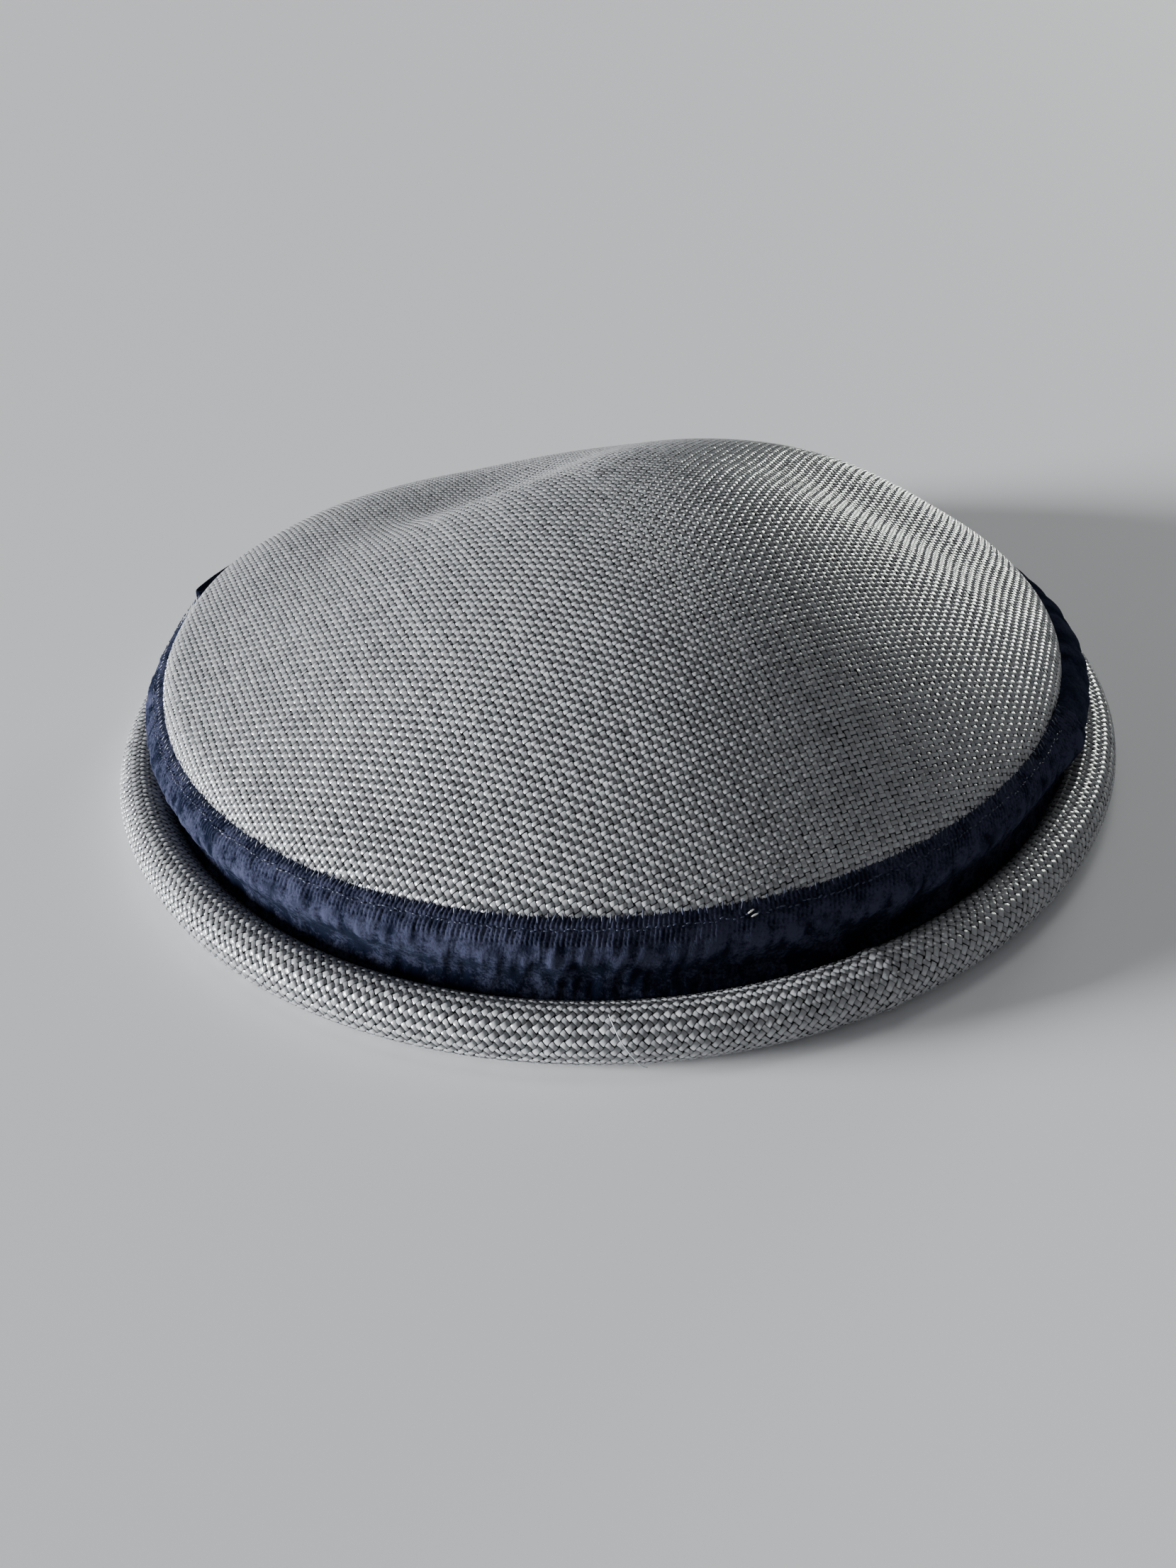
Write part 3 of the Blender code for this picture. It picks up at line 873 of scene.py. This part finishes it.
class VelvetSettings(bpy.types.PropertyGroup):
    """Sizes and colours of the velvet."""

    band_start: FloatProperty(
        name="Band start", description="Left end of the band, degrees", default=168.3,
    )
    band_end: FloatProperty(
        name="Band end", description="Right end of the band, degrees", default=330.8,
    )
    strip_start: FloatProperty(
        name="Strip start", description="Right end of the strip, degrees", default=-28.6,
    )
    strip_end: FloatProperty(
        name="Strip end", description="Left end of the strip, degrees", default=167.5,
    )
    thickness: FloatProperty(
        name="Thickness", description="Of the velvet", default=0.0008, unit="LENGTH",
    )
    rib_pitch: FloatProperty(
        name="Rib pitch", description="From cord to cord", default=0.00086, unit="LENGTH",
    )
    rib_height: FloatProperty(
        name="Rib height", description="Of the cords", default=0.00014, unit="LENGTH",
    )
    rib_slant: FloatProperty(name="Rib slant", description="How far the cords lean", default=0.25)
    row_width: FloatProperty(
        name="Row width", description="Of a row of cords", default=0.0026, unit="LENGTH",
    )
    ridge_along: FloatProperty(
        name="Ridge", description="From the top edge to the ridge", default=0.0083, unit="LENGTH",
    )
    groove: FloatProperty(
        name="Groove", description="Depth of the stitched grooves", default=0.00028, unit="LENGTH",
    )
    ragged: FloatProperty(
        name="Ragged", description="Of the top edge", default=0.00022, unit="LENGTH",
    )
    top_tuck: FloatProperty(
        name="Top tuck", description="Top edge towards the crown", default=0.0011, unit="LENGTH",
    )
    top_reach: FloatProperty(
        name="Top reach", description="How far down it leans in", default=0.0014, unit="LENGTH",
    )
    softness: FloatProperty(
        name="Softness", description="Height of soft dents", default=0.00012, unit="LENGTH",
    )
    fold_depth: FloatProperty(
        name="Fold depth", description="Of the strip's fold", default=0.0005, unit="LENGTH",
    )
    overlap_lift: FloatProperty(
        name="Overlap lift", description="Band's end over the strip", default=0.0012, unit="LENGTH",
    )
    stitch_pitch: FloatProperty(
        name="Stitch pitch", description="From stitch to stitch", default=0.0015, unit="LENGTH",
    )
    sheen: FloatProperty(
        name="Sheen", description="Strength of the pile's sheen", default=0.06, min=0.0, max=1.0,
    )
    sheen_roughness: FloatProperty(
        name="Sheen roughness", description="Of the pile", default=0.4, min=0.0, max=1.0,
    )
    sheen_tint: FloatVectorProperty(
        name="Sheen tint", description="Of the pile", default=(0.30, 0.38, 0.60), subtype="COLOR",
    )
    # Dark and Light are the painted-shade and painted-highlight ends of the velvet's colour
    dark: FloatVectorProperty(
        name="Dark", description="Pile seen end on", default=(0.004, 0.006, 0.014), subtype="COLOR",
    )
    light: FloatVectorProperty(
        name="Light", description="Brushed pile", default=(0.046, 0.050, 0.086), subtype="COLOR",
    )
    thread: FloatVectorProperty(
        name="Thread", description="Sewing thread", default=(0.020, 0.027, 0.058), subtype="COLOR",
    )


class StudioSettings(bpy.types.PropertyGroup):
    """Camera, lights and floor."""

    camera_rise: FloatProperty(
        name="Camera rise", description="Angle over the floor, degrees", default=36.99,
    )
    camera_roll: FloatProperty(name="Camera roll", description="Degrees", default=-3.80)
    camera_distance: FloatProperty(
        name="Camera distance", description="To the aim", default=0.2733, unit="LENGTH",
    )
    aim_right: FloatProperty(name="Aim right", description="Share of the distance", default=0.0242)
    aim_up: FloatProperty(name="Aim up", description="Share of the distance", default=0.0912)
    aim_height: FloatProperty(
        name="Aim height", description="Over the floor", default=0.00611, unit="LENGTH",
    )
    lens: FloatProperty(
        name="Lens", description="Focal length on a 36 mm tall frame, in mm", default=26.04,
    )
    floor_size: FloatProperty(name="Floor", description="Half its side", default=8.0, unit="LENGTH")
    floor_color: FloatVectorProperty(
        name="Floor", description="Pale", default=(0.93, 0.93, 0.94), subtype="COLOR",
    )
    left_azimuth: FloatProperty(
        name="Left azimuth", description="Of the left light, degrees", default=-178.0,
    )
    left_rise: FloatProperty(name="Left rise", description="Over the floor, degrees", default=5.5)
    left_strength: FloatProperty(
        name="Left strength", description="Of the left light", default=14.5,
    )
    far_azimuth: FloatProperty(
        name="Far azimuth", description="Of the far light, degrees", default=56.0,
    )
    far_rise: FloatProperty(name="Far rise", description="Over the floor, degrees", default=8.0)
    far_strength: FloatProperty(name="Far strength", description="Of the far light", default=0.9)
    glint_rise: FloatProperty(
        name="Glint rise", description="Of the light for highlights only", default=12.0,
    )
    glint_strength: FloatProperty(
        name="Glint strength", description="Of the light for highlights only", default=1.8,
    )
    top_rise: FloatProperty(name="Top rise", description="Over the floor, degrees", default=72.0)
    top_strength: FloatProperty(
        name="Top strength", description="Of the light from above", default=0.25,
    )
    softness: FloatProperty(
        name="Softness", description="Breadth of the lights, degrees", default=18.0,
    )
    fill_strength: FloatProperty(
        name="Fill", description="Strength of the light from all round", default=0.17,
    )


# Operators


class HAT_OT_crown_straw(bpy.types.Operator):
    """Weave the straw cloth of the crown"""

    bl_idname = "hat.crown_straw"
    bl_label = "Crown straw"

    def execute(self, context):
        straw = context.scene.hat_straw
        skin = read_crown()
        material = straw_material("crown_straw", straw)
        across, along = straw.warp_pitch, straw.weft_pitch
        warp, weft = (straw.warp_cover, straw.warp_top), (straw.weft_cover, straw.weft_top)
        weave_crown(straw, skin, "crown_warp", material, 0.0, across, along, *warp, 1.0, 101)
        weave_crown(straw, skin, "crown_weft", material, -90.0, along, across, *weft, -1.0, 102)
        backing = backing_material("crown_backing", straw, straw.crown_turn)
        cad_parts["crown"].data.materials.clear()
        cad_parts["crown"].data.materials.append(backing)
        return {"FINISHED"}


class HAT_OT_brim_straw(bpy.types.Operator):
    """Weave the bias-cut straw cloth of the brim"""

    bl_idname = "hat.brim_straw"
    bl_label = "Brim straw"

    def execute(self, context):
        straw = context.scene.hat_straw
        skin = read_brim()
        material = straw_material("brim_straw", straw)
        weave_brim(straw, skin, "brim_warp", material, False, straw.weft_cover, straw.weft_top, 1.0, 201)
        weave_brim(straw, skin, "brim_weft", material, True, straw.warp_cover, straw.warp_top, -1.0, 202)
        lay_stray_thread(skin, thread_material("pale_thread", (0.45, 0.46, 0.48), 0.4))
        backing = backing_material("brim_backing", straw, 45.0)
        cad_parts["brim_roll"].data.materials.clear()
        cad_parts["brim_roll"].data.materials.append(backing)
        return {"FINISHED"}


class HAT_OT_velvet(bpy.types.Operator):
    """Fold the velvet band, strip and loop"""

    bl_idname = "hat.velvet"
    bl_label = "Velvet"

    def execute(self, context):
        velvet = context.scene.hat_velvet
        ribbed = velvet_material("ribbed_velvet", velvet, 1.0)
        smooth = velvet_material("smooth_velvet", velvet, 0.4)
        band = read_velvet("velvet_band", velvet.band_start, velvet.band_end)
        build_band(velvet, band, ribbed)
        strip = read_velvet("velvet_strip", velvet.strip_start, velvet.strip_end)
        build_strip(velvet, strip, smooth)
        build_loop(smooth)
        thread = thread_material("navy_thread", velvet.thread, 0.5)
        long_stitch = (0.0015, 0.00030, 0.00030)
        short_stitch = (0.0008, 0.00026, 0.00024)
        row = velvet.row_width
        pitch = velvet.stitch_pitch
        sew_line(velvet, band, "selvedge_stitches", thread, 0.0005, pitch, long_stitch, 78.0, 301)
        sew_line(velvet, band, "row_stitches", thread, row, 0.0011, short_stitch, 5.0, 302)
        white = thread_material("white_thread", (0.55, 0.55, 0.52), 0.35)
        sew_white_stitches(band, white)
        return {"FINISHED"}


class HAT_OT_stage(bpy.types.Operator):
    """Set the floor, the soft lights and the camera"""

    bl_idname = "hat.stage"
    bl_label = "Stage"

    def execute(self, context):
        studio = context.scene.hat_studio
        bm = bmesh.new()
        bmesh.ops.create_grid(bm, x_segments=1, y_segments=1, size=studio.floor_size)
        mesh = mesh_from(bm, "floor")
        mesh.materials.append(floor_material(studio.floor_color))
        floor = bpy.data.objects.new("floor", mesh)
        context.scene.collection.objects.link(floor)
        self.light(context.scene, studio)
        self.camera(context.scene, studio)
        return {"FINISHED"}

    def light(self, scene, studio):
        world = bpy.data.worlds.new("soft_room")
        world.use_nodes = True
        world.node_tree.nodes["Background"].inputs["Color"].default_value = ROOM_COLOR
        world.node_tree.nodes["Background"].inputs["Strength"].default_value = studio.fill_strength
        scene.world = world
        for name, azimuth, rise, strength, color, diffuse in (
            ("left_light", studio.left_azimuth, studio.left_rise, studio.left_strength, LEFT_COLOR, True),
            ("far_light", studio.far_azimuth, studio.far_rise, studio.far_strength, FAR_COLOR, True),
            ("glint_light", studio.far_azimuth, studio.glint_rise, studio.glint_strength, GLINT_COLOR, False),
            ("top_light", 90.0, studio.top_rise, studio.top_strength, TOP_COLOR, True),
        ):
            lamp = bpy.data.lights.new(name, "SUN")
            lamp.energy = strength
            lamp.color = color
            lamp.angle = math.radians(studio.softness)
            light = bpy.data.objects.new(name, lamp)
            light.visible_diffuse = diffuse
            low = math.cos(math.radians(rise))
            place = Vector((
                low * math.cos(math.radians(azimuth)),
                low * math.sin(math.radians(azimuth)),
                math.sin(math.radians(rise)),
            ))
            light.matrix_world = aimed(place, Vector((0.0, 0.0, 0.0)))
            scene.collection.objects.link(light)

    def camera(self, scene, studio):
        rise = math.radians(studio.camera_rise)
        roll = math.radians(studio.camera_roll)
        right = Vector((1.0, 0.0, 0.0))
        up = Vector((0.0, math.sin(rise), math.cos(rise)))
        back = Vector((0.0, -math.cos(rise), math.sin(rise)))
        aim = -studio.aim_right * right - studio.aim_up * up + back
        place = aim * studio.camera_distance + Vector((0.0, 0.0, studio.aim_height))
        across = right * math.cos(roll) + up * math.sin(roll)
        upright = up * math.cos(roll) - right * math.sin(roll)
        lens = bpy.data.cameras.new("camera")
        lens.sensor_fit = "VERTICAL"
        lens.sensor_height = 36.0
        lens.lens = studio.lens
        lens.clip_start = 0.01
        lens.clip_end = 50.0
        view = bpy.data.objects.new("camera", lens)
        axes = Matrix((across, upright, back)).transposed().to_4x4()
        view.matrix_world = Matrix.Translation(place) @ axes
        scene.collection.objects.link(view)
        scene.camera = view


def aimed(place, aim):
    """A placement whose -Z looks from place to aim."""
    return Matrix.Translation(place) @ (aim - place).to_track_quat("-Z", "Y").to_matrix().to_4x4()


class HAT_PT_panel(bpy.types.Panel):
    """Lists the hat's pieces in the sidebar"""

    bl_idname = "HAT_PT_panel"
    bl_label = "Saucer hat"
    bl_space_type = "VIEW_3D"
    bl_region_type = "UI"
    bl_category = "Saucer hat"

    def draw(self, context):
        for operator in OPERATORS:
            self.layout.operator(operator.bl_idname)


SETTINGS = {"hat_straw": StrawSettings, "hat_velvet": VelvetSettings, "hat_studio": StudioSettings}
OPERATORS = (HAT_OT_crown_straw, HAT_OT_brim_straw, HAT_OT_velvet, HAT_OT_stage)


def register():
    for settings in SETTINGS.values():
        bpy.utils.register_class(settings)
    for operator in OPERATORS:
        bpy.utils.register_class(operator)
    bpy.utils.register_class(HAT_PT_panel)
    for name, settings in SETTINGS.items():
        setattr(bpy.types.Scene, name, PointerProperty(type=settings))


def unregister():
    for name in SETTINGS:
        delattr(bpy.types.Scene, name)
    bpy.utils.unregister_class(HAT_PT_panel)
    for operator in OPERATORS:
        bpy.utils.unregister_class(operator)
    for settings in SETTINGS.values():
        bpy.utils.unregister_class(settings)


def main():
    register()
    bpy.ops.hat.crown_straw()
    bpy.ops.hat.brim_straw()
    bpy.ops.hat.velvet()
    bpy.ops.hat.stage()
    bpy.context.view_layer.update()


if __name__ == "__main__":
    main()
